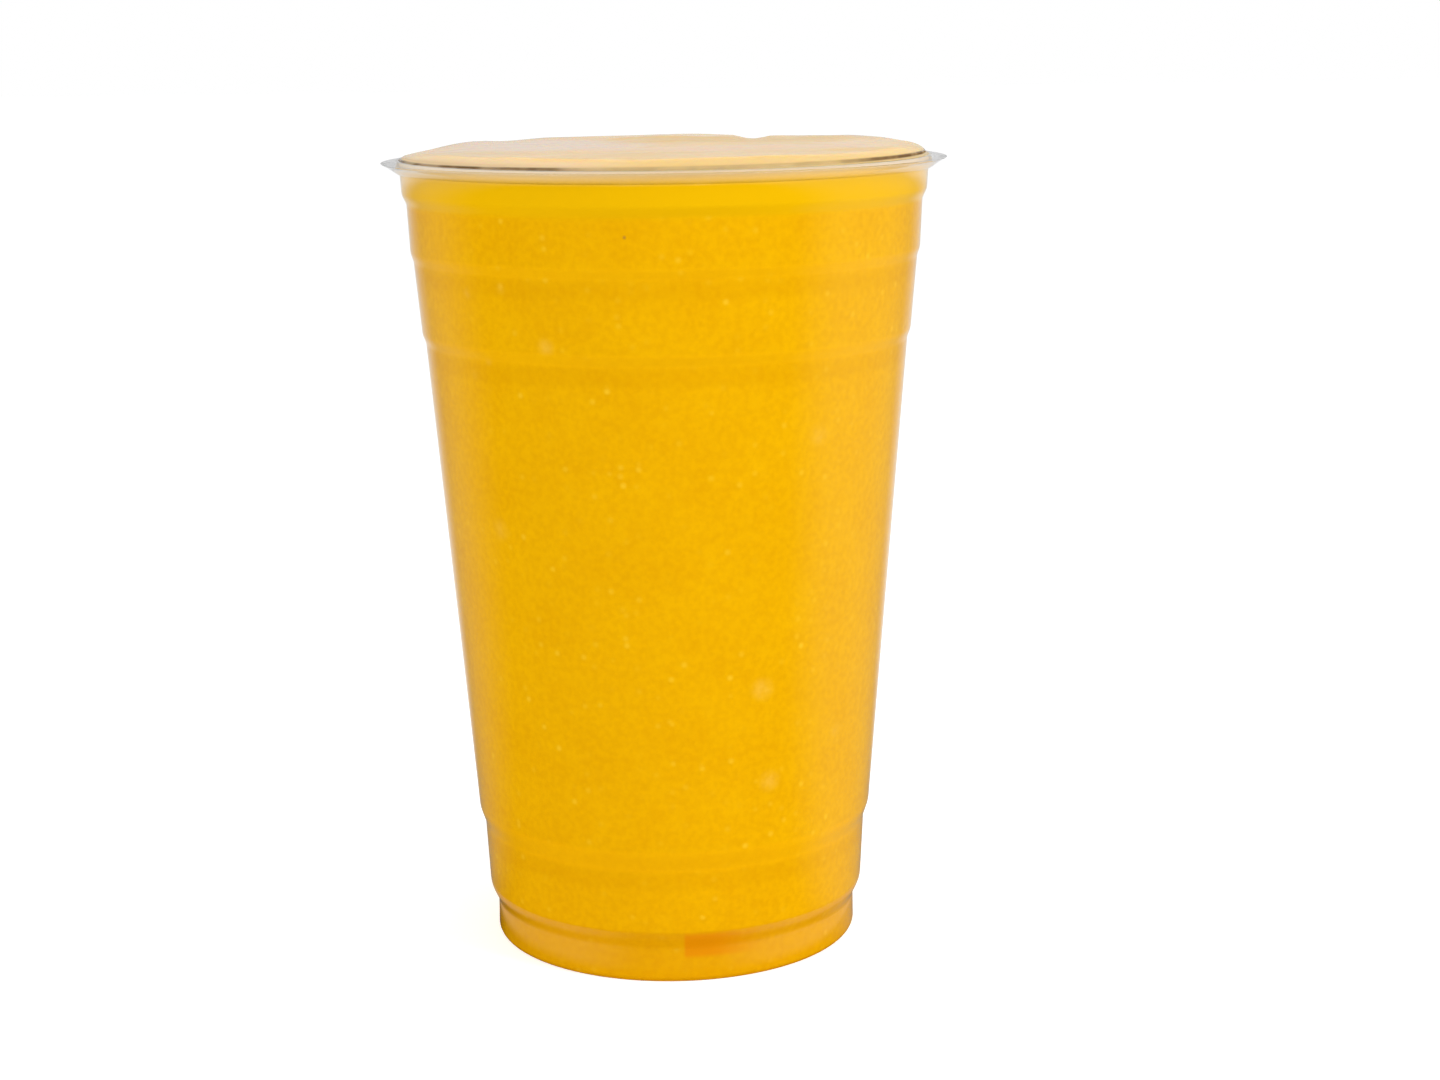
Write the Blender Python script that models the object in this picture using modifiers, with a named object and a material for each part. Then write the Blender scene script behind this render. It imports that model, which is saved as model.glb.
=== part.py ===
"""A tall clear plastic cup with a rolled rim, filled over its brim with thick mango juice.

Units are metres, +Z is up, and the origin is the middle of the foot's underside.
The cup is one thin sheet turned about Z. Its shape is a line halfway through the sheet,
from the middle of the base to the end of the rolled rim, thickened to both sides.
"""

import math

import bpy

# Driving dimensions of the cup
CUP_HEIGHT = 0.140
RIM_RADIUS = 0.049
SHEET = 0.0005
HALF_SHEET = SHEET / 2

# Base: a shallow raised panel inside a ring that stands on the table
PANEL_RADIUS = 0.0250
PANEL_LIFT = 0.0032
RING_INNER_RADIUS = 0.0284
RING_CORNER = 0.0008
FOOT_RADIUS = 0.0326

# Outer radius of the wall at each height where it steps out, from the foot up:
# (height below the step, radius there, height above the step, radius there)
WALL_STEPS = (
    (0.0056, 0.03255, 0.0098, 0.03395),
    (0.0202, 0.03450, 0.0246, 0.03555),
    (0.1076, 0.04225, 0.1102, 0.04290),
    (0.1218, 0.04390, 0.1242, 0.04445),
    (0.1318, 0.04480, 0.1342, 0.04560),
)

# Rolled rim: an oval curl of the sheet, higher at its outer side, open underneath beside the wall
COLLAR_RADIUS = 0.0458
CURL_HEIGHT = 0.0026
CURL_SLANT = 0.0004
CURL_END_ANGLE = math.radians(-115)

# Juice: it bulges out of the mouth over a rounded shoulder
JUICE_GAP = 0.0003
JUICE_LEVEL = 0.1413
SHOULDER_WIDTH = 0.0010
SHOULDER_HEIGHT = 0.0011
TOP_RING_SPACING = 0.0040

# Swells and dips of the juice's top:
# (middle x, middle y, half width along x, half width along y, height)
SWELLS = (
    (0.0015, 0.0300, 0.0150, 0.0270, 0.00045),
    (0.0370, 0.0230, 0.0120, 0.0150, 0.00030),
    (-0.0365, 0.0240, 0.0085, 0.0150, 0.00030),
    (0.0200, 0.0420, 0.0100, 0.0240, -0.00030),
    (0.0166, 0.0440, 0.0040, 0.0240, -0.00065),
    (-0.0290, 0.0360, 0.0075, 0.0220, -0.00020),
)

TURN_STEPS = 56
STEP_POINTS = 4
CURL_POINTS = 12
CORNER_POINTS = 3
SHOULDER_POINTS = 3
MERGE_DISTANCE = 0.00001


def clear_scene():
    for obj in list(bpy.data.objects):
        bpy.data.objects.remove(obj, do_unlink=True)


def make_material(name, colour, roughness, transmission=0.0, ior=1.45):
    material = bpy.data.materials.new(name)
    material.use_nodes = True
    shader = material.node_tree.nodes["Principled BSDF"]
    shader.inputs["Base Color"].default_value = (*colour, 1.0)
    shader.inputs["Roughness"].default_value = roughness
    shader.inputs["Metallic"].default_value = 0.0
    shader.inputs["Transmission Weight"].default_value = transmission
    shader.inputs["IOR"].default_value = ior
    return material


def s_curve(start, end, count):
    """Points from start to end whose radius changes slowly at both ends and fast between."""
    points = []
    for i in range(count + 1):
        share = i / count
        eased = share * share * (3 - 2 * share)
        radius = start[0] + (end[0] - start[0]) * eased
        height = start[1] + (end[1] - start[1]) * share
        points.append((radius, height))
    return points


def oval(middle, half_width, half_height, first, last, count):
    """Points on an oval round middle, from the angle first to the angle last."""
    points = []
    for i in range(count + 1):
        angle = first + (last - first) * i / count
        points.append(
            (middle[0] + half_width * math.cos(angle), middle[1] + half_height * math.sin(angle))
        )
    return points


def base_line():
    """The sheet's middle line from the axis to the top of the foot's outer corner."""
    panel = (PANEL_RADIUS, PANEL_LIFT + HALF_SHEET)
    ring_inner = (RING_INNER_RADIUS, HALF_SHEET)
    # The slope from panel to ring is an S lying on its side, so radius and height change places
    slope = [(r, z) for z, r in s_curve(panel[::-1], ring_inner[::-1], STEP_POINTS)]
    corner_middle = (FOOT_RADIUS - HALF_SHEET - RING_CORNER, HALF_SHEET + RING_CORNER)
    corner = oval(
        corner_middle, RING_CORNER, RING_CORNER, math.radians(-90), 0.0, CORNER_POINTS
    )
    return [(0.0, panel[1])] + slope + corner


def wall_line():
    """The sheet's middle line up the wall, with its rings, to the foot of the rolled rim."""
    points = []
    for low_height, low_radius, high_height, high_radius in WALL_STEPS:
        points += s_curve(
            (low_radius - HALF_SHEET, low_height),
            (high_radius - HALF_SHEET, high_height),
            STEP_POINTS,
        )
    return points


def curl_line():
    """The sheet's middle line over the rolled rim: an oval slanted up towards its outer side."""
    inner = COLLAR_RADIUS - HALF_SHEET
    outer = RIM_RADIUS - HALF_SHEET
    middle = ((inner + outer) / 2, CUP_HEIGHT - CURL_HEIGHT / 2)
    half_width = (outer - inner) / 2
    # Slanting an oval makes it taller, so it starts out lower
    half_height = math.sqrt((CURL_HEIGHT / 2 - HALF_SHEET) ** 2 - CURL_SLANT**2)
    level = oval(middle, half_width, half_height, math.pi, CURL_END_ANGLE, CURL_POINTS)
    slanted = []
    for radius, height in level:
        slanted.append((radius, height + CURL_SLANT * (radius - middle[0]) / half_width))
    return slanted


def beside(line, distance):
    """The line moved sideways: a positive distance moves it into the cup."""
    moved = []
    for i, (radius, height) in enumerate(line):
        before = line[max(i - 1, 0)]
        after = line[min(i + 1, len(line) - 1)]
        first = direction(before, (radius, height)) or direction((radius, height), after)
        second = direction((radius, height), after) or first
        normal = (-(first[1] + second[1]), first[0] + second[0])
        length = math.hypot(*normal)
        normal = (normal[0] / length, normal[1] / length)
        # Lengthened at a bend, so that the sheet keeps its thickness
        facing = -normal[0] * first[1] + normal[1] * first[0]
        reach = distance / facing
        moved.append((max(radius + normal[0] * reach, 0.0), height + normal[1] * reach))
    moved[0] = (0.0, moved[0][1])
    return moved


def direction(start, end):
    length = math.hypot(end[0] - start[0], end[1] - start[1])
    if length == 0.0:
        return None
    return ((end[0] - start[0]) / length, (end[1] - start[1]) / length)


def turned(name, outline, material, collection):
    """A solid of revolution about Z. The outline runs from the axis to the axis, down its outer side."""
    mesh = bpy.data.meshes.new(name)
    vertices = [(radius, 0.0, height) for radius, height in outline]
    mesh.from_pydata(vertices, [(i, i + 1) for i in range(len(vertices) - 1)], [])
    mesh.materials.append(material)
    obj = bpy.data.objects.new(name, mesh)
    collection.objects.link(obj)
    screw = obj.modifiers.new("Turn", "SCREW")
    screw.axis = "Z"
    screw.angle = math.tau
    screw.steps = TURN_STEPS
    screw.render_steps = TURN_STEPS
    screw.use_merge_vertices = True
    screw.merge_threshold = MERGE_DISTANCE
    screw.use_smooth_shade = True
    return obj


def cup_outline():
    """The sheet's section: up its inner face, round the end of the curl and down its outer face."""
    line = base_line() + wall_line() + curl_line()
    inner_face = beside(line, HALF_SHEET)
    outer_face = beside(line, -HALF_SHEET)
    return inner_face + outer_face[::-1]


def juice_outline():
    """From the middle of the top, over the shoulder and down inside the sheet to the base."""
    line = base_line() + wall_line() + curl_line()[:1]
    side = beside(line, HALF_SHEET + JUICE_GAP)
    wall_radius = side[-1][0]
    flat_radius = wall_radius - SHOULDER_WIDTH
    ring_count = int(flat_radius / TOP_RING_SPACING)
    top = [(flat_radius * i / ring_count, JUICE_LEVEL) for i in range(ring_count)]
    shoulder = oval(
        (flat_radius, JUICE_LEVEL - SHOULDER_HEIGHT),
        SHOULDER_WIDTH,
        SHOULDER_HEIGHT,
        math.radians(90),
        0.0,
        SHOULDER_POINTS,
    )
    return top + shoulder + side[::-1]


def swell_height(x, y):
    """How far the swells and dips lift the juice's top at this place."""
    total = 0.0
    for middle_x, middle_y, half_x, half_y, height in SWELLS:
        away = ((x - middle_x) / half_x) ** 2 + ((y - middle_y) / half_y) ** 2
        if away < 1.0:
            total += height * (1.0 - away) ** 2
    return total


def shape_top(obj):
    """Turns the modifier's result into a plain mesh and lifts its flat top into the swells."""
    graph = bpy.context.evaluated_depsgraph_get()
    outline_mesh = obj.data
    obj.data = bpy.data.meshes.new_from_object(obj.evaluated_get(graph))
    obj.modifiers.clear()
    bpy.data.meshes.remove(outline_mesh)
    obj.data.name = obj.name
    for vertex in obj.data.vertices:
        if vertex.co.z > CUP_HEIGHT:
            share = min((vertex.co.z - CUP_HEIGHT) / (JUICE_LEVEL - CUP_HEIGHT), 1.0)
            vertex.co.z += share * swell_height(vertex.co.x, vertex.co.y)


def build():
    clear_scene()
    collection = bpy.data.collections.new("mango_juice")
    bpy.context.scene.collection.children.link(collection)

    clear_plastic = make_material(
        "clear_plastic", (0.96, 0.97, 0.97), 0.06, transmission=1.0, ior=1.57
    )
    mango_juice = make_material("mango_juice", (0.88, 0.43, 0.008), 0.30)

    turned("cup", cup_outline(), clear_plastic, collection)
    juice = turned("juice", juice_outline(), mango_juice, collection)
    shape_top(juice)


build()
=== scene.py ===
"""The looks of the mango juice and its clear plastic cup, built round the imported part.

Lengths are in metres in the row frame: +Z is up, and the origin is the middle of the foot.
A name that ends in SPAN holds a low and a high value, between which something changes smoothly.
With an EDGE of the same name it is full between them, and fades out over that width outside.
"""

import math
import random

import bpy
import numpy as np
from mathutils import Matrix, Vector


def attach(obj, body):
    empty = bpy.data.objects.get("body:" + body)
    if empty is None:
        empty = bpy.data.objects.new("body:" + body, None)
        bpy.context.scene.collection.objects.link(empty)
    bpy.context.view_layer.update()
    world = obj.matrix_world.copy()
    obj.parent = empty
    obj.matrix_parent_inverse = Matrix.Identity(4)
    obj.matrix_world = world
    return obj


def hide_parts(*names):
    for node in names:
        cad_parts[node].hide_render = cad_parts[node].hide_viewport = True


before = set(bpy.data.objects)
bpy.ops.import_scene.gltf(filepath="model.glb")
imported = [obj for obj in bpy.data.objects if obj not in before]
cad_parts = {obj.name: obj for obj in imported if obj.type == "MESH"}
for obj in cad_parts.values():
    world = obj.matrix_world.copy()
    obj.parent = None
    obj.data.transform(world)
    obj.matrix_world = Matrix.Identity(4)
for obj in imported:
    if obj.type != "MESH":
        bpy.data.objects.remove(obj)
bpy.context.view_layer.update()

# Camera, found by fitting a pinhole camera to the rim, the foot and the wall in the photograph
PHOTO_WIDTH = 1440
FOCAL_PIXELS = 2497.0
SENSOR_WIDTH_MM = 36.0
CAMERA_PLACE = (0.0, -0.4389, 0.1619)
CAMERA_PITCH = math.radians(11.681)
CAMERA_ROLL = math.radians(-0.691)
CAMERA_YAW = math.radians(1.160)
CLIP_START = 0.01
CLIP_END = 50.0

# The cup's sheet, as in the part: outer radii, heights and the sheet's thickness
CUP_HEIGHT = 0.140
RIM_RADIUS = 0.049
SHEET = 0.0005
HALF_SHEET = SHEET / 2
PANEL_RADIUS = 0.0250
PANEL_LIFT = 0.0032
RING_INNER_RADIUS = 0.0284
RING_CORNER = 0.0008
FOOT_RADIUS = 0.0326

# The wall's steps: (height below the step, radius there, height above the step, radius there)
WALL_STEPS = (
    (0.0056, 0.03255, 0.0098, 0.03395),
    (0.0202, 0.03450, 0.0246, 0.03555),
    (0.1076, 0.04225, 0.1102, 0.04290),
    (0.1218, 0.04390, 0.1242, 0.04445),
    (0.1318, 0.04480, 0.1342, 0.04560),
)

# Rolled rim: an oval that slants up outwards and thins towards its outer edge
COLLAR_RADIUS = 0.0458
CURL_HEIGHT = 0.0026
CURL_SLANT = 0.0004
CURL_TAPER = 2.0
CURL_RISE = 0.0019
CURL_END_ANGLE = math.radians(-115)

# The juice's top: it bulges out of the mouth over a rounded shoulder
JUICE_LEVEL = 0.1413
CONTACT_ANGLE = math.radians(118)
SHOULDER_RADIUS = 0.0453
SHOULDER_WIDTH = 0.0030
SHOULDER_HEIGHT = 0.0014

# Its swells and dips: (middle x, middle y, half width along x, half width along y, height)
SWELLS = (
    (0.0015, 0.0300, 0.0150, 0.0270, 0.00045),
    (0.0370, 0.0230, 0.0120, 0.0150, 0.00030),
    (-0.0365, 0.0240, 0.0085, 0.0150, 0.00030),
    (0.0200, 0.0420, 0.0100, 0.0240, -0.00030),
    (0.0166, 0.0440, 0.0040, 0.0240, -0.00065),
    (-0.0290, 0.0360, 0.0075, 0.0220, -0.00020),
    (-0.0440, 0.0080, 0.0140, 0.0340, -0.00085),
)

# Its fine ripples: one wave of each length, and the longer, the higher
RIPPLE_LENGTHS = (0.031, 0.023, 0.019, 0.014, 0.011, 0.008)
RIPPLE_SLOPE = 0.0020
RIPPLE_SEED = 5

# Fineness of the meshes
TURN_STEPS = 192
STEP_POINTS = 10
CURL_POINTS = 28
CORNER_POINTS = 6
SHOULDER_POINTS = 8
TOP_RING_SPACING = 0.0006

# Clear plastic, with a slight haze and shallow dents
PLASTIC_TINT = (0.97, 0.98, 0.98)
PLASTIC_IOR = 1.50
PLASTIC_ROUGHNESS = (0.02, 0.05)
HAZE_SIZE = 0.006
HAZE_DETAIL = 3.0
HAZE_SPAN = (0.35, 0.65)
DENT_SIZE = 0.018
DENT_DEPTH = 0.00006

# The rolled rim's plastic
LIP_CLEAR = (0.98, 0.98, 0.98)
LIP_SHADED = (0.80, 0.80, 0.81)
LIP_SHADED_SPAN = (0.65, 1.0)
LIP_IOR = 1.02
LIP_COAT_ROUGHNESS = 0.05
LIP_CLEARNESS = 0.92
LIP_HEIGHT_SPAN = (0.1374, 0.1398)
LIP_GREY = (0.5, 0.5, 0.51)
LIP_DENSITY = 24.0

# The juice as a material. Its top is made of the faces that point up more than UPWARD
JUICE_ROUGHNESS = 0.12
JUICE_IOR = 1.35
LIGHT_DEPTHS = (1.0, 0.5, 0.1)
LIGHT_DEPTH_SCALE = 0.001
TOP_GLOSS = 0.09
TOP_SOFTNESS = 0.4
UPWARD = 0.5

# Pulp: sizes of its blobs, and the spans of noise over which each goes from none to full
JUICE_DEEP = (0.855, 0.407, 0.0008)
JUICE_LIGHT = (0.935, 0.487, 0.0012)
GRAIN_SIZE = 0.0011
GRAIN_SPAN = (0.25, 0.75)
GRAIN_SHARE = 0.75
MOTTLE_SIZE = 0.010
MOTTLE_SPAN = (0.30, 0.70)
JUICE_FLECK = (0.985, 0.570, 0.020)
FLECK_SPACING = 0.0024
FLECK_SPAN = (0.05, 0.34)
FLECK_CHOICE_SPAN = (0.35, 1.00)
CLUMP_SIZE = 0.014
CLUMP_SPAN = (0.40, 0.60)
CLUMP_LEAST = 0.30

# Pale bubbles under the plastic: (degrees from the front, height, radius, strength)
BUBBLES = (
    (23.5, 0.0526, 0.0023, 0.42),
    (26.4, 0.0360, 0.0022, 0.36),
    (-27.3, 0.1111, 0.0018, 0.34),
    (37.2, 0.0953, 0.0022, 0.30),
    (-48.8, 0.1191, 0.0012, 0.34),
    (-38.0, 0.1203, 0.0012, 0.26),
    (-44.2, 0.1079, 0.0010, 0.30),
    (-49.8, 0.1054, 0.0010, 0.30),
    (-45.6, 0.0792, 0.0022, 0.24),
    (49.3, 0.0423, 0.0016, 0.26),
)
JUICE_BUBBLE = (0.970, 0.545, 0.055)
BUBBLE_SPREAD = 1.2
BUBBLE_GAIN = 1.6
BUBBLE_GRAIN_SIZE = 0.0013
BUBBLE_GRAIN_SPAN = (0.35, 0.60)
BUBBLE_GRAIN_LEAST = 0.45

# Bubbles scattered over the sides and the back, from this depth on
BACK_BUBBLE_SPACING = 0.016
BACK_BUBBLE_SPAN = (0.0, 0.16)
BACK_BUBBLE_STRENGTH = 0.5
BACK_DEPTH_SPAN = (-0.012, -0.004)

# One dark speck: (degrees from the front, height, radius)
SPECK = (-8.4, 0.1291, 0.0005)
JUICE_SPECK = (0.420, 0.190, 0.030)
SPECK_CORE = 0.4
SPECK_STRENGTH = 0.8

# Painted light and shade on the wall's rings: a pale slope and a dark band under it, by their
# distances from the step's ends
STEPS_WITH_PAINTED_SHADING = WALL_STEPS[1:4]
RING_PAINTED_LIGHT = (0.990, 0.500, 0.0020)
RING_SLOPE_ENDS = (0.0008, -0.0006)
RING_SLOPE_EDGE = 0.0010
RING_SLOPE_STRENGTH = 0.5
RING_PAINTED_SHADE = (0.800, 0.370, 0.0006)
RING_UNDER_ENDS = (-0.0022, -0.0006)
RING_UNDER_EDGE = 0.0014
RING_UNDER_STRENGTH = 0.32

# The foot: darker below its groove, with painted shade just under the groove, and the deeper orange
# patch on it
FOOT_DARK_AND_GROOVE_SHADE = (0.780, 0.345, 0.0008)
FOOT_SPAN = (0.0084, 0.0096)
FOOT_STRENGTH = 0.40
GROOVE_SPAN = (0.0086, 0.0092)
GROOVE_EDGE = 0.0008
GROOVE_SHADE_STRENGTH = 0.6
FOOT_PATCH = (0.850, 0.295, 0.0010)
PATCH_LEFT_SPAN = (0.0010, 0.0016)
PATCH_RIGHT_SPAN = (0.0050, 0.0170)
PATCH_HEIGHT_SPAN = (0.0052, 0.0086)
PATCH_HEIGHT_EDGE = 0.0012
PATCH_DEPTH_SPAN = (-0.020, -0.010)
PATCH_STRENGTH = 0.9

# The collar, the creamy zone behind the lip and the painted highlight over the shoulder
JUICE_GLOW = (0.930, 0.510, 0.0012)
GLOW_SPAN = (0.1312, 0.1330)
SIDE_CREAM = (0.98, 0.78, 0.51)
BEHIND_LIP_SPAN = (0.1370, 0.1396)
CREAM_ACROSS_SPAN = (-0.030, 0.004)
CREAM_LEFT = 0.85
CREAM_RIGHT = 0.65
SHOULDER_HIGHLIGHT_LEFT = (0.76, 0.560, 0.330)
SHOULDER_HIGHLIGHT_RIGHT = (0.73, 0.515, 0.220)
SHOULDER_HIGHLIGHT_ACROSS_SPAN = (-0.018, 0.0)
SHOULDER_HIGHLIGHT_HEIGHT_SPAN = (0.1398, 0.1400)
SHOULDER_HIGHLIGHT_RADIUS_SPAN = (0.0425, 0.0450)

# Painted shade: the thin brown line in the crease where the juice meets the lip
BRIM_SHADE_DARK = (0.16, 0.090, 0.035)
BRIM_SHADE_PALE = (0.52, 0.360, 0.160)
BRIM_SHADE_PALE_SPAN = (-0.008, 0.024)
BRIM_SHADE_PALE_EDGE = 0.014
BRIM_SLOPE = 0.0065
BRIM_HEIGHT_SPAN = (0.1397, 0.1400)
BRIM_HEIGHT_EDGE = 0.00025
DASH_SIZE = 0.006
DASH_SPAN = (0.35, 0.60)
DASH_LEAST = 0.6

# The juice's top: its drift between two colours, and the painted grey reflection along its far edge
# beside the lump
TOP_TAN = (0.84, 0.50, 0.100)
TOP_CREAM = (0.89, 0.56, 0.180)
DRIFT_SIZE = 0.007
DRIFT_DETAIL = 4.0
DRIFT_SPAN = (0.3, 0.7)
TOP_FAR_EDGE_REFLECTION = (0.56, 0.46, 0.300)
EDGE_RADIUS_SPAN = (0.0385, 0.0435)
EDGE_DEPTH_SPAN = (0.008, 0.024)
LUMP_MIDDLE = 0.008
LUMP_SPAN = (0.012, 0.022)

# Its tones: (middle x, middle y, half width, half depth, colour, strength)
# The fourth is painted shade on the lump's front slope, and the last is a painted highlight on the
# lump
TOP_TONES_AND_PAINTED_LIGHT = (
    (-0.022, 0.006, 0.026, 0.030, (0.81, 0.58, 0.40), 0.9),
    (0.036, 0.008, 0.012, 0.022, (0.90, 0.60, 0.31), 0.7),
    (0.012, -0.010, 0.028, 0.012, (0.91, 0.55, 0.27), 0.8),
    (0.012, 0.019, 0.028, 0.015, (0.80, 0.44, 0.02), 1.0),
    (-0.033, -0.020, 0.010, 0.012, (0.76, 0.50, 0.20), 0.6),
    (0.003, 0.032, 0.014, 0.005, (0.88, 0.66, 0.40), 0.7),
)
TONE_SPAN = (0.40, 1.1)
TONE_WAVE = 0.012
TONE_WAVE_DETAIL = 3.0
TONE_SHIFT = 0.016

# Light of the surroundings, by direction: dark low down behind the camera
WHITE = (1.0, 1.0, 1.0, 1.0)
FRONT_DARK = 0.08
FRONT_SPAN = (-0.85, -0.35)
ABOVE_SPAN = (0.10, 0.40)
HORIZON = 0.67
HORIZON_SPAN = (0.10, 0.35)
ZENITH = 0.6
ZENITH_SPAN = (0.35, 0.90)
LEFT_LIGHT = 0.82
RIGHT_LIGHT = 1.05
ACROSS_SPAN = (-1.0, 1.0)

# Softboxes: (name, degrees from the camera's side towards +X, power)
SOFTBOXES = (
    ("left_softbox", -49.0, 2.4),
    ("right_softbox", 57.0, 3.6),
)
SOFTBOX_ELEVATION = math.radians(42.0)
SOFTBOX_DISTANCE = 0.9
SOFTBOX_WIDTH = 0.34
SOFTBOX_HEIGHT = 0.5
SOFTBOX_TARGET = (0.0, 0.0, 0.08)

# The table, and how bright it is where it is mirrored in the cup
FLOOR_HALF = 6.0
FLOOR_COLOUR = (0.92, 0.92, 0.92, 1.0)
FLOOR_ROUGHNESS = 0.9
FLOOR_GLOW = 0.42
DIM_FRONT = 0.01
DIM_SIDE = 0.27
DIM_SIDE_SPAN = (-0.10, 0.55)
DIM_RIGHT_WEIGHT = 0.6
DIM_BACK = 0.70
DIM_BACK_SPAN = (0.72, 1.0)
DIM_NEAR = 0.45
DIM_NEAR_SPAN = (0.0385, 0.0440)
DIM_NEAR_EDGE = 0.0040
ASKEW_SPAN = (0.20, 0.65)
ASKEW_LEAST = 0.12


def s_curve(start, end, count):
    """Points from start to end whose radius changes slowly at both ends and fast between."""
    points = []
    for i in range(count + 1):
        share = i / count
        eased = share * share * (3 - 2 * share)
        radius = start[0] + (end[0] - start[0]) * eased
        height = start[1] + (end[1] - start[1]) * share
        points.append((radius, height))
    return points


def oval(middle, half_width, half_height, first, last, count):
    """Points on an oval round middle, from the angle first to the angle last."""
    points = []
    for i in range(count + 1):
        angle = first + (last - first) * i / count
        points.append(
            (middle[0] + half_width * math.cos(angle), middle[1] + half_height * math.sin(angle))
        )
    return points


def base_line():
    """The sheet's middle line from the axis to the top of the foot's outer corner."""
    panel = (PANEL_RADIUS, PANEL_LIFT + HALF_SHEET)
    ring_inner = (RING_INNER_RADIUS, HALF_SHEET)
    slope = [(r, z) for z, r in s_curve(panel[::-1], ring_inner[::-1], STEP_POINTS)]
    corner_middle = (FOOT_RADIUS - HALF_SHEET - RING_CORNER, HALF_SHEET + RING_CORNER)
    corner = oval(
        corner_middle, RING_CORNER, RING_CORNER, math.radians(-90), 0.0, CORNER_POINTS
    )
    return [(0.0, panel[1])] + slope + corner


def wall_line():
    """The sheet's middle line up the wall, with its rings, to the foot of the rolled rim."""
    points = []
    for low_height, low_radius, high_height, high_radius in WALL_STEPS:
        low = (low_radius - HALF_SHEET, low_height)
        high = (high_radius - HALF_SHEET, high_height)
        points += s_curve(low, high, STEP_POINTS)
    return points


def curl_line(last, grown):
    """The rolled rim's outline from its inner side to the angle last, grown on all sides."""
    inner = COLLAR_RADIUS - HALF_SHEET
    outer = RIM_RADIUS - HALF_SHEET
    half_width = (outer - inner) / 2
    points = []
    for i in range(CURL_POINTS + 1):
        angle = math.pi + (last - math.pi) * i / CURL_POINTS
        outward = math.cos(angle)
        rise = CURL_RISE * ((1.0 - outward) / 2) ** CURL_TAPER + grown
        height = CUP_HEIGHT - CURL_HEIGHT / 2 + CURL_SLANT * outward + rise * math.sin(angle)
        points.append(((inner + outer) / 2 + (half_width + grown) * outward, height))
    return points


def beside(line, distance):
    """The line moved sideways: a positive distance moves it into the cup."""
    points = np.array(line)
    ahead = np.diff(points, axis=0)
    ahead /= np.linalg.norm(ahead, axis=1, keepdims=True)
    first = np.vstack([ahead[:1], ahead])
    second = np.vstack([ahead, ahead[-1:]])
    along = first + second
    along /= np.linalg.norm(along, axis=1, keepdims=True)
    normal = np.stack([-along[:, 1], along[:, 0]], 1)
    # Lengthened at a bend, so that the sheet keeps its thickness
    reach = distance / np.einsum("ij,ij->i", along, first)
    moved = points + normal * reach[:, None]
    moved[0, 0] = 0.0
    return [tuple(p) for p in moved]


def turned_faces(ring_count):
    """Quads between the rings, and triangles round the first and the last point on the axis."""
    faces = []
    for ring in range(ring_count - 1):
        for step in range(TURN_STEPS):
            this = ring * TURN_STEPS + step
            beyond = ring * TURN_STEPS + (step + 1) % TURN_STEPS
            faces.append((this, this + TURN_STEPS, beyond + TURN_STEPS, beyond))
    first_point = ring_count * TURN_STEPS
    last_point = first_point + 1
    last_ring = (ring_count - 1) * TURN_STEPS
    for step in range(TURN_STEPS):
        beyond = (step + 1) % TURN_STEPS
        faces.append((first_point, step, beyond))
        faces.append((last_point, last_ring + beyond, last_ring + step))
    return faces


def turned_mesh(name, outline, relief=None):
    """A closed mesh turned about Z from an outline that starts and ends on the axis."""
    radii = np.array([p[0] for p in outline[1:-1]])
    heights = np.array([p[1] for p in outline[1:-1]])
    angles = np.linspace(0.0, math.tau, TURN_STEPS, endpoint=False)
    x = radii[:, None] * np.cos(angles)
    y = radii[:, None] * np.sin(angles)
    z = np.repeat(heights[:, None], TURN_STEPS, axis=1)
    first = np.array([[0.0, 0.0, outline[0][1]]])
    last = np.array([[0.0, 0.0, outline[-1][1]]])
    if relief is not None:
        z = z + relief(x, y, z)
        first[0, 2] += relief(first[:, 0], first[:, 1], first[:, 2])[0]
    vertices = np.vstack([np.stack([x, y, z], 2).reshape(-1, 3), first, last])
    mesh = bpy.data.meshes.new(name)
    mesh.from_pydata(vertices.tolist(), [], turned_faces(len(radii)))
    mesh.polygons.foreach_set("use_smooth", [True] * len(mesh.polygons))
    mesh.update()
    return mesh


def add_piece(name, mesh, material, node):
    """A visible piece that takes the place of one node of the part."""
    mesh.materials.append(material)
    piece = bpy.data.objects.new(name, mesh)
    bpy.context.scene.collection.objects.link(piece)
    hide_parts(node)
    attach(piece, "root")
    return piece


def new_material(name):
    material = bpy.data.materials.new(name)
    material.use_nodes = True
    tree = material.node_tree
    return material, tree, tree.nodes["Principled BSDF"]


def plug(tree, value, socket):
    """Sets a socket to a number or colour, or links it to another node's output."""
    if isinstance(value, bpy.types.NodeSocket):
        tree.links.new(value, socket)
    else:
        socket.default_value = value


def maths(tree, operation, first, second=0.0):
    node = tree.nodes.new("ShaderNodeMath")
    node.operation = operation
    plug(tree, first, node.inputs[0])
    plug(tree, second, node.inputs[1])
    return node.outputs[0]


def times(tree, product, *factors):
    for factor in factors:
        product = maths(tree, "MULTIPLY", product, factor)
    return product


def vector_maths(tree, operation, *vectors):
    """The result is a number for DISTANCE and LENGTH, and a vector for all others."""
    node = tree.nodes.new("ShaderNodeVectorMath")
    node.operation = operation
    for vector, socket in zip(vectors, node.inputs):
        plug(tree, vector, socket)
    return node.outputs["Value" if operation in ("DISTANCE", "LENGTH") else "Vector"]


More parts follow.
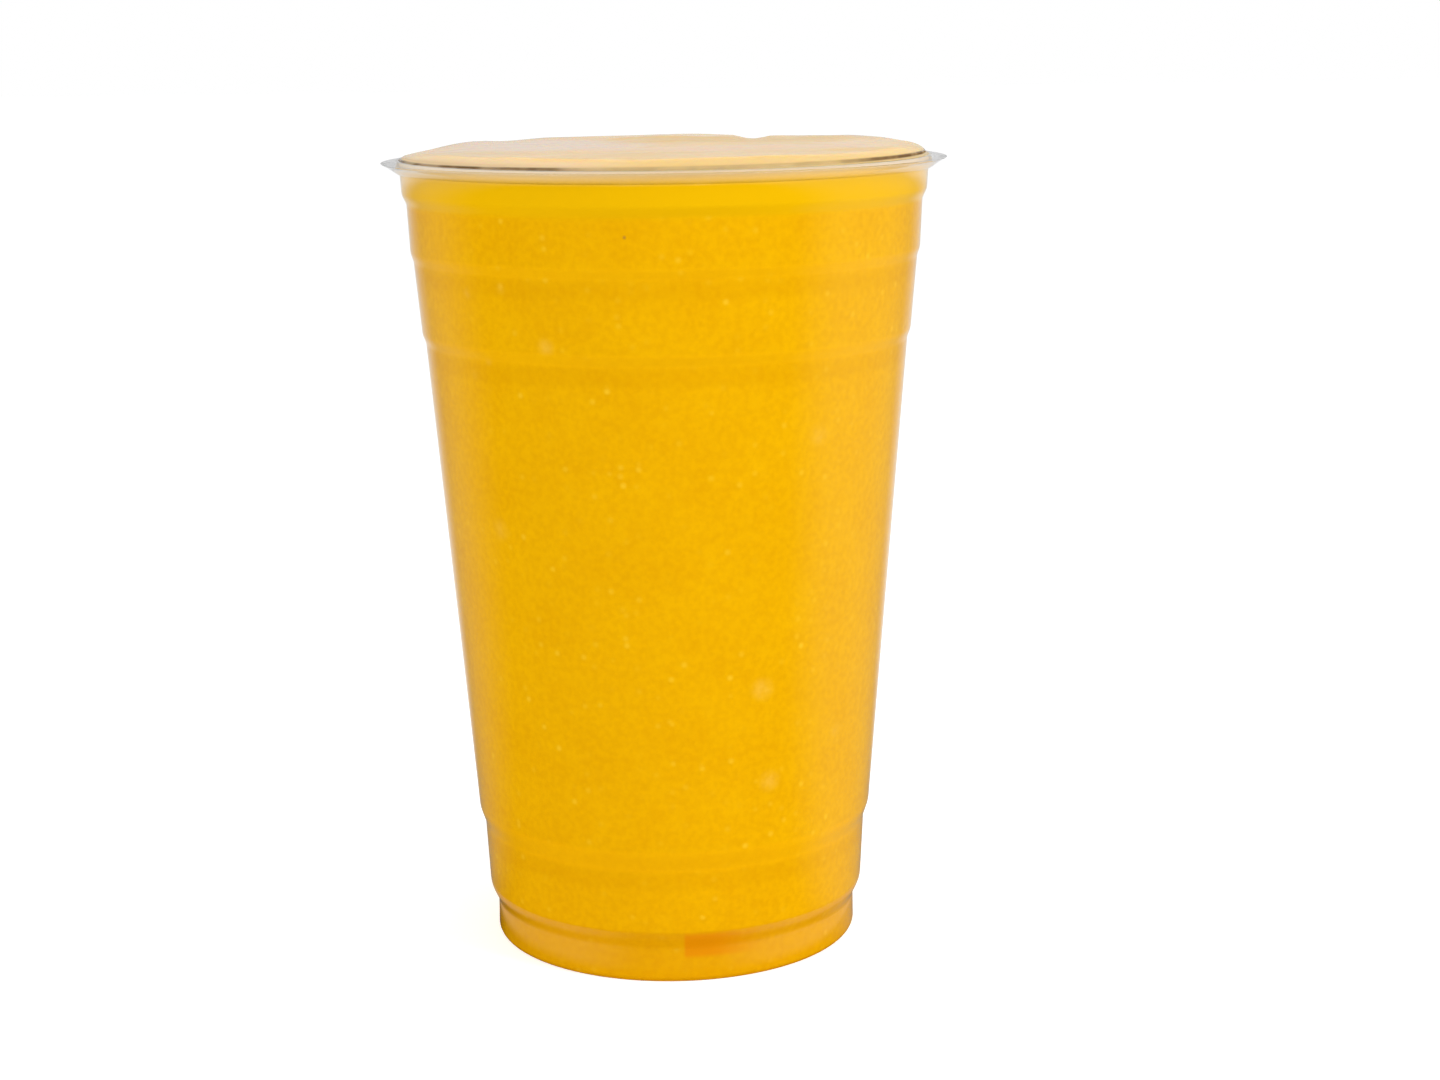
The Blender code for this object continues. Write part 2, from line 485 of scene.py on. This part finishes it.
def map_range(tree, value, span, at_low=0.0, at_high=1.0):
    """value carried smoothly from its span to at_low..at_high."""
    node = tree.nodes.new("ShaderNodeMapRange")
    node.interpolation_type = "SMOOTHSTEP"
    plug(tree, value, node.inputs["Value"])
    node.inputs["From Min"].default_value = span[0]
    node.inputs["From Max"].default_value = span[1]
    node.inputs["To Min"].default_value = at_low
    node.inputs["To Max"].default_value = at_high
    return node.outputs[0]


def band(tree, value, span, edge):
    """1 inside the span, falling to 0 over the width edge outside it."""
    low, high = span
    rise = map_range(tree, value, (low - edge, low))
    fall = map_range(tree, value, (high, high + edge), 1.0, 0.0)
    return times(tree, rise, fall)


def mix_colour(tree, share, first, second):
    node = tree.nodes.new("ShaderNodeMix")
    node.data_type = "RGBA"
    plug(tree, share, node.inputs[0])
    for value, socket in ((first, node.inputs[6]), (second, node.inputs[7])):
        if isinstance(value, tuple):
            value = (*value, 1.0)
        plug(tree, value, socket)
    return node.outputs[2]


def mix_shader(tree, share, first, second, output):
    """Leads to the output node the first shader where share is 0, and the second where it is 1."""
    mix = tree.nodes.new("ShaderNodeMixShader")
    plug(tree, share, mix.inputs[0])
    plug(tree, first.outputs[0], mix.inputs[1])
    plug(tree, second.outputs[0], mix.inputs[2])
    plug(tree, mix.outputs[0], tree.nodes[output].inputs["Surface"])


def place(tree):
    """The point on the surface in metres, in the row frame."""
    return tree.nodes.new("ShaderNodeTexCoord").outputs["Object"]


def split(tree, vector):
    node = tree.nodes.new("ShaderNodeSeparateXYZ")
    plug(tree, vector, node.inputs[0])
    return node.outputs["X"], node.outputs["Y"], node.outputs["Z"]


def distance_from_axis(tree, x, y):
    squares = maths(tree, "ADD", times(tree, x, x), times(tree, y, y))
    return maths(tree, "SQRT", squares)


def noise_texture(tree, vector, size, detail):
    node = tree.nodes.new("ShaderNodeTexNoise")
    plug(tree, vector, node.inputs["Vector"])
    node.inputs["Scale"].default_value = 1.0 / size
    node.inputs["Detail"].default_value = detail
    return node


def noise(tree, vector, size, detail=2.0):
    """Smooth noise round 0.5 whose blobs are about size across."""
    return noise_texture(tree, vector, size, detail).outputs[0]


def wavy(tree, where, size, detail, reach):
    """The place moved about by up to half of reach, so that soft spots get uneven outlines."""
    field = noise_texture(tree, where, size, detail).outputs["Color"]
    moved = vector_maths(tree, "MULTIPLY_ADD", field, (reach, reach, 0.0), where)
    return vector_maths(tree, "SUBTRACT", moved, (reach / 2, reach / 2, 0.0))


def cells(tree, vector, spacing):
    """Scattered points: the distance to the nearest, in spacings, and its own random number."""
    node = tree.nodes.new("ShaderNodeTexVoronoi")
    plug(tree, vector, node.inputs["Vector"])
    node.inputs["Scale"].default_value = 1.0 / spacing
    own, _, _ = split(tree, node.outputs["Color"])
    return node.outputs["Distance"], own


def bump(tree, height, depth):
    node = tree.nodes.new("ShaderNodeBump")
    plug(tree, height, node.inputs["Height"])
    node.inputs["Distance"].default_value = depth
    return node.outputs[0]


def plastic_material(name, is_lip):
    """Thin clear plastic: glass to the eye, but only a faint tint to shadows and soft light."""
    material, tree, shader = new_material(name)
    shader.inputs["Base Color"].default_value = (*PLASTIC_TINT, 1.0)
    shader.inputs["IOR"].default_value = PLASTIC_IOR
    shader.inputs["Transmission Weight"].default_value = 1.0
    where = place(tree)
    if is_lip:
        turn_to_lip(tree, shader, where)
    haze = noise(tree, where, HAZE_SIZE, HAZE_DETAIL)
    plug(tree, map_range(tree, haze, HAZE_SPAN, *PLASTIC_ROUGHNESS), shader.inputs["Roughness"])
    dents = bump(tree, noise(tree, where, DENT_SIZE), DENT_DEPTH)
    plug(tree, dents, shader.inputs["Normal"])
    path = tree.nodes.new("ShaderNodeLightPath")
    either = maths(tree, "MAXIMUM", path.outputs["Is Shadow Ray"], path.outputs["Is Diffuse Ray"])
    through = tree.nodes.new("ShaderNodeBsdfTransparent")
    through.inputs["Color"].default_value = (*PLASTIC_TINT, 1.0)
    mix_shader(tree, either, shader, through, "Material Output")
    return material


def turn_to_lip(tree, shader, where):
    """The rolled sheet bends light less than a solid ring would, and greys it at its edges."""
    # Painted shade: the lip's colour greys where it is seen edge-on
    facing = tree.nodes.new("ShaderNodeLayerWeight").outputs["Facing"]
    edge = map_range(tree, facing, LIP_SHADED_SPAN)
    plug(tree, mix_colour(tree, edge, LIP_CLEAR, LIP_SHADED), shader.inputs["Base Color"])
    shader.inputs["IOR"].default_value = LIP_IOR
    shader.inputs["Coat Weight"].default_value = 1.0
    shader.inputs["Coat Roughness"].default_value = LIP_COAT_ROUGHNESS
    _, _, z = split(tree, where)
    clearness = map_range(tree, z, LIP_HEIGHT_SPAN, 1.0, LIP_CLEARNESS)
    plug(tree, clearness, shader.inputs["Transmission Weight"])
    # Seen along its length, at the sides, the lip is greyer than across it in front
    inside = tree.nodes.new("ShaderNodeVolumeAbsorption")
    inside.inputs["Color"].default_value = (*LIP_GREY, 1.0)
    inside.inputs["Density"].default_value = LIP_DENSITY
    plug(tree, inside.outputs[0], tree.nodes["Material Output"].inputs["Volume"])


def wall_radius(height):
    """Outer radius of the wall at this height."""
    heights = [h for low, _, high, _ in WALL_STEPS for h in (low, high)]
    radii = [r for _, low, _, high in WALL_STEPS for r in (low, high)]
    return float(np.interp(height, heights, radii))


def away_from(tree, where, azimuth, height):
    """Distance from a point on the wall, azimuth degrees from the front towards +X."""
    turn = math.radians(azimuth)
    radius = wall_radius(height)
    point = (radius * math.sin(turn), -radius * math.cos(turn), height)
    return vector_maths(tree, "DISTANCE", where, point)


def bubble_share(tree, where):
    """Soft pale spots where the photograph has them, and others round the sides and back."""
    distance, own = cells(tree, where, BACK_BUBBLE_SPACING)
    _, y, _ = split(tree, where)
    behind = map_range(tree, y, BACK_DEPTH_SPAN)
    spot = map_range(tree, distance, BACK_BUBBLE_SPAN, BACK_BUBBLE_STRENGTH, 0.0)
    total = times(tree, own, behind, spot)
    for azimuth, height, radius, strength in BUBBLES:
        distance = away_from(tree, where, azimuth, height)
        span = (0.0, radius * BUBBLE_SPREAD)
        spot = map_range(tree, distance, span, BUBBLE_GAIN * strength, 0.0)
        total = maths(tree, "MAXIMUM", spot, total)
    grain = noise(tree, where, BUBBLE_GRAIN_SIZE)
    broken = map_range(tree, grain, BUBBLE_GRAIN_SPAN, BUBBLE_GRAIN_LEAST, 1.0)
    return times(tree, total, broken)


def fleck_share(tree, where):
    """Small pale flecks of pulp, of uneven strength and more in some places."""
    distance, own = cells(tree, where, FLECK_SPACING)
    fleck = map_range(tree, distance, FLECK_SPAN, 1.0, 0.0)
    some = map_range(tree, own, FLECK_CHOICE_SPAN)
    clump = map_range(tree, noise(tree, where, CLUMP_SIZE), CLUMP_SPAN, CLUMP_LEAST, 1.0)
    return times(tree, fleck, some, clump)


def pulp_colour(tree, where):
    """Mango orange with the soft grain of pulp, small pale flecks and some larger bubbles."""
    grain = map_range(tree, noise(tree, where, GRAIN_SIZE), GRAIN_SPAN)
    mottle = map_range(tree, noise(tree, where, MOTTLE_SIZE), MOTTLE_SPAN)
    share = maths(
        tree, "ADD", times(tree, grain, GRAIN_SHARE), times(tree, mottle, 1.0 - GRAIN_SHARE)
    )
    colour = mix_colour(tree, share, JUICE_DEEP, JUICE_LIGHT)
    colour = mix_colour(tree, fleck_share(tree, where), colour, JUICE_FLECK)
    colour = mix_colour(tree, bubble_share(tree, where), colour, JUICE_BUBBLE)
    azimuth, height, radius = SPECK
    distance = away_from(tree, where, azimuth, height)
    speck = map_range(tree, distance, (radius * SPECK_CORE, radius), SPECK_STRENGTH, 0.0)
    return mix_colour(tree, speck, colour, JUICE_SPECK)


def paint_ring_light_and_shade(tree, z, colour):
    """Painted light and shade: each ring of the wall is a little lighter on its slope, and darker just
    under it.
    """
    for low, _, high, _ in STEPS_WITH_PAINTED_SHADING:
        slope_span = (low + RING_SLOPE_ENDS[0], high + RING_SLOPE_ENDS[1])
        slope = times(tree, band(tree, z, slope_span, RING_SLOPE_EDGE), RING_SLOPE_STRENGTH)
        colour = mix_colour(tree, slope, colour, RING_PAINTED_LIGHT)
        under_span = (low + RING_UNDER_ENDS[0], low + RING_UNDER_ENDS[1])
        painted_shade_under = times(tree, band(tree, z, under_span, RING_UNDER_EDGE), RING_UNDER_STRENGTH)
        colour = mix_colour(tree, painted_shade_under, colour, RING_PAINTED_SHADE)
    return colour


def foot_colours(tree, where, colour):
    """The foot: darker below its groove, with painted shade just under the groove, and a deeper orange
    patch.
    """
    x, y, z = split(tree, where)
    below = map_range(tree, z, FOOT_SPAN, FOOT_STRENGTH, 0.0)
    # Painted shade in the undercut just under the groove
    painted_groove_shade = times(tree, band(tree, z, GROOVE_SPAN, GROOVE_EDGE), GROOVE_SHADE_STRENGTH)
    shade = maths(tree, "MAXIMUM", below, painted_groove_shade)
    colour = mix_colour(tree, shade, colour, FOOT_DARK_AND_GROOVE_SHADE)
    left = map_range(tree, x, PATCH_LEFT_SPAN)
    right = map_range(tree, x, PATCH_RIGHT_SPAN, 1.0, 0.0)
    height = band(tree, z, PATCH_HEIGHT_SPAN, PATCH_HEIGHT_EDGE)
    front = map_range(tree, y, PATCH_DEPTH_SPAN, PATCH_STRENGTH, 0.0)
    return mix_colour(tree, times(tree, left, right, height, front), colour, FOOT_PATCH)


def painted_shoulder_highlight(tree, x):
    """Painted highlight over the shoulder, paler to the left."""
    return mix_colour(tree, map_range(tree, x, SHOULDER_HIGHLIGHT_ACROSS_SPAN), SHOULDER_HIGHLIGHT_LEFT, SHOULDER_HIGHLIGHT_RIGHT)


def painted_brim_shade(tree, where, colour):
    """Painted shade: a thin, uneven brown line in the crease where the juice meets the lip, lighter in
    the middle.
    """
    x, _, z = split(tree, where)
    level = maths(tree, "SUBTRACT", z, times(tree, x, BRIM_SLOPE))
    middle = band(tree, x, BRIM_SHADE_PALE_SPAN, BRIM_SHADE_PALE_EDGE)
    shade = mix_colour(tree, middle, BRIM_SHADE_DARK, BRIM_SHADE_PALE)
    dashes = map_range(tree, noise(tree, where, DASH_SIZE), DASH_SPAN, DASH_LEAST, 1.0)
    line = times(tree, band(tree, level, BRIM_HEIGHT_SPAN, BRIM_HEIGHT_EDGE), dashes)
    return mix_colour(tree, line, colour, shade)


def side_colour(tree, where):
    """The juice seen through the wall: lighter in the collar and creamy behind the lip, with painted
    light and shade on its rings, painted shade under the foot's groove, a painted highlight over the
    shoulder and a painted shade line at the brim.
    """
    x, _, z = split(tree, where)
    colour = paint_ring_light_and_shade(tree, z, pulp_colour(tree, where))
    colour = foot_colours(tree, where, colour)
    colour = mix_colour(tree, map_range(tree, z, GLOW_SPAN), colour, JUICE_GLOW)
    behind_lip = map_range(tree, z, BEHIND_LIP_SPAN)
    across = map_range(tree, x, CREAM_ACROSS_SPAN, CREAM_LEFT, CREAM_RIGHT)
    colour = mix_colour(tree, times(tree, behind_lip, across), colour, SIDE_CREAM)
    # Painted highlight over the shoulder, above the lip
    shoulder_highlight = map_range(tree, z, SHOULDER_HIGHLIGHT_HEIGHT_SPAN)
    colour = mix_colour(tree, shoulder_highlight, colour, painted_shoulder_highlight(tree, x))
    return painted_brim_shade(tree, where, colour)


def tone_share(tree, where, middle, half_size, strength):
    """A soft oval on the juice's top: strength in its middle, nothing outside it."""
    moved = vector_maths(tree, "SUBTRACT", where, (*middle, JUICE_LEVEL))
    scaled = vector_maths(tree, "DIVIDE", moved, (*half_size, 1.0))
    return map_range(tree, vector_maths(tree, "LENGTH", scaled), TONE_SPAN, strength, 0.0)


def painted_far_edge_reflection(tree, x, y, radius):
    """Where the painted grey reflection lies: the far edge of the juice's top, but not behind the
    lump.
    """
    outer = map_range(tree, radius, EDGE_RADIUS_SPAN)
    behind = map_range(tree, y, EDGE_DEPTH_SPAN)
    from_lump = maths(tree, "ABSOLUTE", maths(tree, "SUBTRACT", x, LUMP_MIDDLE))
    return times(tree, outer, behind, map_range(tree, from_lump, LUMP_SPAN))


def top_colour(tree, where):
    """The juice's top under its thin froth: mango to pinkish cream, with painted shade and a painted
    highlight on the lump, a painted grey reflection along its far edge, a painted highlight over the
    shoulder and a painted shade line at the brim.
    """
    x, y, _ = split(tree, where)
    uneven = wavy(tree, where, TONE_WAVE, TONE_WAVE_DETAIL, TONE_SHIFT)
    drift = map_range(tree, noise(tree, uneven, DRIFT_SIZE, DRIFT_DETAIL), DRIFT_SPAN)
    colour = mix_colour(tree, drift, TOP_TAN, TOP_CREAM)
    # Among these tones are painted shade and a painted highlight on the lump
    for middle_x, middle_y, half_x, half_y, tone, strength in TOP_TONES_AND_PAINTED_LIGHT:
        share = tone_share(tree, uneven, (middle_x, middle_y), (half_x, half_y), strength)
        colour = mix_colour(tree, share, colour, tone)
    radius = distance_from_axis(tree, x, y)
    # Painted grey reflection along the far edge
    colour = mix_colour(tree, painted_far_edge_reflection(tree, x, y, radius), colour, TOP_FAR_EDGE_REFLECTION)
    # Painted highlight over the shoulder
    shoulder_highlight = map_range(tree, radius, SHOULDER_HIGHLIGHT_RADIUS_SPAN)
    colour = mix_colour(tree, shoulder_highlight, colour, painted_shoulder_highlight(tree, x))
    return painted_brim_shade(tree, where, colour)


def juice_material(name, colour_of, gloss, softness):
    """Opaque juice whose colour at each place comes from the function colour_of."""
    material, tree, shader = new_material(name)
    plug(tree, colour_of(tree, place(tree)), shader.inputs["Base Color"])
    shader.inputs["Roughness"].default_value = JUICE_ROUGHNESS
    shader.inputs["IOR"].default_value = JUICE_IOR
    shader.inputs["Specular IOR Level"].default_value = gloss
    shader.inputs["Subsurface Weight"].default_value = softness
    shader.inputs["Subsurface Radius"].default_value = LIGHT_DEPTHS
    shader.inputs["Subsurface Scale"].default_value = LIGHT_DEPTH_SCALE
    return material


def juice_relief(x, y, z):
    """How far the swells and dips lift the juice's top: fully on the flat, less on the shoulder."""
    total = np.zeros_like(x)
    for middle_x, middle_y, half_x, half_y, height in SWELLS:
        away = ((x - middle_x) / half_x) ** 2 + ((y - middle_y) / half_y) ** 2
        total += height * np.clip(1.0 - away, 0.0, 1.0) ** 2
    chance = random.Random(RIPPLE_SEED)
    for length in RIPPLE_LENGTHS:
        turn = chance.uniform(0.0, math.tau)
        along = x * math.cos(turn) + y * math.sin(turn)
        total += RIPPLE_SLOPE * length * np.sin(along / length * math.tau + turn)
    return total * np.clip((z - CUP_HEIGHT) / (JUICE_LEVEL - CUP_HEIGHT), 0.0, 1.0)


def build_cup():
    """The sheet with its rolled rim closed to a solid lip, as tightly rolled plastic looks."""
    sheet = base_line() + wall_line()
    lip = curl_line(CURL_END_ANGLE, HALF_SHEET)
    under_lip = (COLLAR_RADIUS, lip[-1][1])
    outline = beside(sheet, HALF_SHEET) + lip + [under_lip] + beside(sheet, -HALF_SHEET)[::-1]
    mesh = turned_mesh("cup_shell", outline)
    clear = plastic_material("clear_plastic", False)
    piece = add_piece("cup_shell", mesh, clear, "cup")
    mesh.materials.append(plastic_material("rim_plastic", True))
    for face in piece.data.polygons:
        if face.center.z > CUP_HEIGHT - CURL_HEIGHT:
            face.material_index = 1


def build_juice():
    """The juice reaches to the middle of the sheet, so that no air gap shows."""
    side = base_line() + wall_line() + curl_line(CONTACT_ANGLE, 0.0)
    flat_radius = SHOULDER_RADIUS - SHOULDER_WIDTH
    count = int(flat_radius / TOP_RING_SPACING)
    top = [(flat_radius * i / count, JUICE_LEVEL) for i in range(count)]
    middle = (flat_radius, JUICE_LEVEL - SHOULDER_HEIGHT)
    shoulder = oval(
        middle, SHOULDER_WIDTH, SHOULDER_HEIGHT, math.radians(90), 0.0, SHOULDER_POINTS
    )
    mesh = turned_mesh("juice_body", top + shoulder + side[::-1], juice_relief)
    # Only the top is glossy and soft to light: the side is seen through the plastic's own gloss
    in_the_cup = juice_material("juice_in_the_cup", side_colour, 0.0, 0.0)
    piece = add_piece("juice_body", mesh, in_the_cup, "juice")
    mesh.materials.append(juice_material("juice_surface", top_colour, TOP_GLOSS, TOP_SOFTNESS))
    for face in piece.data.polygons:
        if face.normal.z > UPWARD:
            face.material_index = 1


def looked_at(tree):
    """1 for what the eye sees directly or through the plastic, 0 for light and mirrored rays."""
    path = tree.nodes.new("ShaderNodeLightPath")
    return maths(
        tree, "MAXIMUM", path.outputs["Is Camera Ray"], path.outputs["Is Transmission Ray"]
    )


def world_light():
    """White to the eye. As light it is dark behind the camera, and softer overhead and low down."""
    world = bpy.data.worlds.new("studio")
    bpy.context.scene.world = world
    world.use_nodes = True
    tree = world.node_tree
    seen = tree.nodes.new("ShaderNodeBackground")
    seen.inputs["Color"].default_value = WHITE
    light = tree.nodes["Background"]
    light.inputs["Color"].default_value = WHITE
    x, y, z = split(tree, tree.nodes.new("ShaderNodeTexCoord").outputs["Generated"])
    behind = map_range(tree, y, FRONT_SPAN)
    above = map_range(tree, z, ABOVE_SPAN)
    shade = map_range(tree, maths(tree, "MAXIMUM", behind, above), (0.0, 1.0), FRONT_DARK, 1.0)
    side = map_range(tree, x, ACROSS_SPAN, LEFT_LIGHT, RIGHT_LIGHT)
    low = map_range(tree, z, HORIZON_SPAN, HORIZON, 1.0)
    high = map_range(tree, z, ZENITH_SPAN, 1.0, ZENITH)
    plug(tree, times(tree, shade, side, low, high), light.inputs["Strength"])
    mix_shader(tree, looked_at(tree), light, seen, "World Output")


def softbox(name, azimuth, power):
    """A large soft light, azimuth degrees from the camera's side towards +X."""
    data = bpy.data.lights.new(name, "AREA")
    data.shape = "RECTANGLE"
    data.size = SOFTBOX_WIDTH
    data.size_y = SOFTBOX_HEIGHT
    data.energy = power
    light = bpy.data.objects.new(name, data)
    bpy.context.scene.collection.objects.link(light)
    turn = math.radians(azimuth)
    level = math.cos(SOFTBOX_ELEVATION)
    way = Vector((math.sin(turn) * level, -math.cos(turn) * level, math.sin(SOFTBOX_ELEVATION)))
    light.location = way * SOFTBOX_DISTANCE + Vector(SOFTBOX_TARGET)
    light.rotation_euler = way.to_track_quat("Z", "Y").to_euler()
    light.visible_camera = False


def mirrored_grey(tree):
    """How bright the table is in the cup's mirror: dark in front, paler beside the foot and behind."""
    x, y, _ = split(tree, place(tree))
    away = distance_from_axis(tree, x, y)
    to_right = times(tree, maths(tree, "MAXIMUM", x, 0.0), DIM_RIGHT_WEIGHT)
    sideways = maths(tree, "DIVIDE", maths(tree, "ADD", y, to_right), away)
    side = map_range(tree, sideways, DIM_SIDE_SPAN, DIM_FRONT, DIM_SIDE)
    back = map_range(tree, maths(tree, "DIVIDE", y, away), DIM_BACK_SPAN, 0.0, DIM_BACK)
    across = maths(tree, "DIVIDE", maths(tree, "ABSOLUTE", x), away)
    askew = map_range(tree, across, ASKEW_SPAN, ASKEW_LEAST, 1.0)
    near = times(tree, band(tree, away, DIM_NEAR_SPAN, DIM_NEAR_EDGE), askew, DIM_NEAR)
    return maths(tree, "MAXIMUM", maths(tree, "ADD", side, back), near)


def floor_material():
    """White to the eye, but dim in the cup's mirror, as where no light falls on the table."""
    material, tree, shader = new_material("pale_floor")
    shader.inputs["Base Color"].default_value = FLOOR_COLOUR
    shader.inputs["Roughness"].default_value = FLOOR_ROUGHNESS
    shader.inputs["Specular IOR Level"].default_value = 0.0
    shader.inputs["Emission Color"].default_value = WHITE
    plug(tree, times(tree, looked_at(tree), FLOOR_GLOW), shader.inputs["Emission Strength"])
    dim = tree.nodes.new("ShaderNodeBsdfDiffuse")
    plug(tree, mirrored_grey(tree), dim.inputs["Color"])
    path = tree.nodes.new("ShaderNodeLightPath")
    mirrored = times(tree, path.outputs["Is Glossy Ray"], path.outputs["Is Reflection Ray"])
    mix_shader(tree, mirrored, shader, dim, "Material Output")
    return material


def build_floor():
    half = FLOOR_HALF
    corners = [(-half, -half, 0.0), (half, -half, 0.0), (half, half, 0.0), (-half, half, 0.0)]
    mesh = bpy.data.meshes.new("floor")
    mesh.from_pydata(corners, [], [(0, 1, 2, 3)])
    mesh.materials.append(floor_material())
    floor = bpy.data.objects.new("floor", mesh)
    bpy.context.scene.collection.objects.link(floor)


def build_camera():
    """A pinhole camera with the place, direction, roll and field of view of the photograph's."""
    ahead = Vector((
        math.sin(CAMERA_YAW) * math.cos(CAMERA_PITCH),
        math.cos(CAMERA_YAW) * math.cos(CAMERA_PITCH),
        -math.sin(CAMERA_PITCH),
    ))
    level = Vector((math.cos(CAMERA_YAW), -math.sin(CAMERA_YAW), 0.0))
    up = level.cross(ahead)
    right = level * math.cos(CAMERA_ROLL) + up * math.sin(CAMERA_ROLL)
    up = up * math.cos(CAMERA_ROLL) - level * math.sin(CAMERA_ROLL)
    data = bpy.data.cameras.new("camera")
    data.sensor_fit = "HORIZONTAL"
    data.sensor_width = SENSOR_WIDTH_MM
    data.lens = FOCAL_PIXELS / PHOTO_WIDTH * SENSOR_WIDTH_MM
    data.clip_start = CLIP_START
    data.clip_end = CLIP_END
    camera = bpy.data.objects.new("camera", data)
    bpy.context.scene.collection.objects.link(camera)
    turned = Matrix((right, up, -ahead)).transposed().to_4x4()
    camera.matrix_world = Matrix.Translation(CAMERA_PLACE) @ turned
    bpy.context.scene.camera = camera


build_cup()
build_juice()
build_floor()
world_light()
for name, azimuth, power in SOFTBOXES:
    softbox(name, azimuth, power)
build_camera()

scene = bpy.context.scene
scene.view_settings.view_transform = "Standard"
scene.cycles.caustics_reflective = False
scene.cycles.caustics_refractive = False
